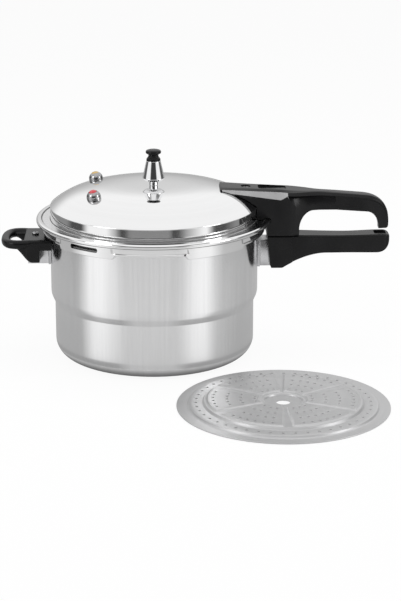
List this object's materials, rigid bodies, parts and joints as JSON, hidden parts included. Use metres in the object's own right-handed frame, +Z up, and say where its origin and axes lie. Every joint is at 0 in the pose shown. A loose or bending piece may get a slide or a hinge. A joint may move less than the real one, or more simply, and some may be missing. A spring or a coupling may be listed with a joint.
{
  "type": "pressure cooker",
  "caption": "Stovetop pressure cooker: stepped aluminium pot, polished bayonet lid with weighted regulator, two acorn valves, black handles and a perforated steam rack.",
  "frame": {"origin": "centre of the pot's flat base, on the surface it stands on", "axes": "+Z up along the pot's axis, +X along the long handles, -Y to the viewer"},
  "size_m": [0.46, 0.4595, 0.2467],
  "materials": {
    "pot_aluminium": "satin spun",
    "lid_aluminium": "mirror polished",
    "rack_aluminium": "matt pressed",
    "chrome": "polished",
    "steel": "brushed",
    "phenolic": "moulded, low sheen",
    "rubber": "matt",
    "amber_alloy": "dull",
    "red_plastic": "gloss"
  },
  "bodies": {
    "pot": {"pot_shell": "pot_aluminium", "pot_handle_bracket": "steel", "pot_handle": "phenolic", "pot_handle_screw": "chrome", "pot_handle_nut": "steel", "pot_handle_rivet_lower": "steel", "pot_handle_rivet_upper": "steel", "helper_handle_bracket": "steel", "helper_handle": "phenolic", "helper_handle_screw": "chrome", "helper_handle_nut": "steel", "helper_handle_rivet_lower": "steel", "helper_handle_rivet_upper": "steel"},
    "lid": {"lid_shell": "lid_aluminium", "lid_gasket": "rubber", "lid_handle_bracket": "steel", "lid_handle": "phenolic", "lid_handle_screw": "chrome", "vent_pipe": "chrome", "vent_washer": "rubber", "vent_nut": "steel", "vent_strainer": "steel", "safety_valve_seat": "steel", "safety_valve_washer": "rubber", "safety_valve_cap": "chrome", "safety_valve_plug": "amber_alloy", "indicator_seat": "steel", "indicator_washer": "rubber", "indicator_cap": "chrome"},
    "regulator": {"regulator_weight": "chrome", "regulator_knob": "phenolic", "regulator_stud": "steel"},
    "indicator": {"indicator_pin": "red_plastic", "indicator_seal": "rubber"},
    "rack": {"steam_rack": "rack_aluminium"}
  },
  "joints": [
    {"name": "lid_twist", "type": "hinge", "parent": "pot", "child": "lid", "pos_m": [0, 0, 0.16], "axis": [0, 0, 1], "range_deg": [0, 36]},
    {"name": "regulator_lift", "type": "slide", "parent": "lid", "child": "regulator", "axis": [0, 0, 1], "range_m": [0, 0.03]},
    {"name": "indicator_rise", "type": "slide", "parent": "lid", "child": "indicator", "axis": [-0.1782, -0.1214, 0.9765], "range_m": [0, 0.004]},
    {"name": "rack_lift", "type": "slide", "parent": "pot", "child": "rack", "axis": [0, 0, 1], "range_m": [0, 0.1]}
  ]
}
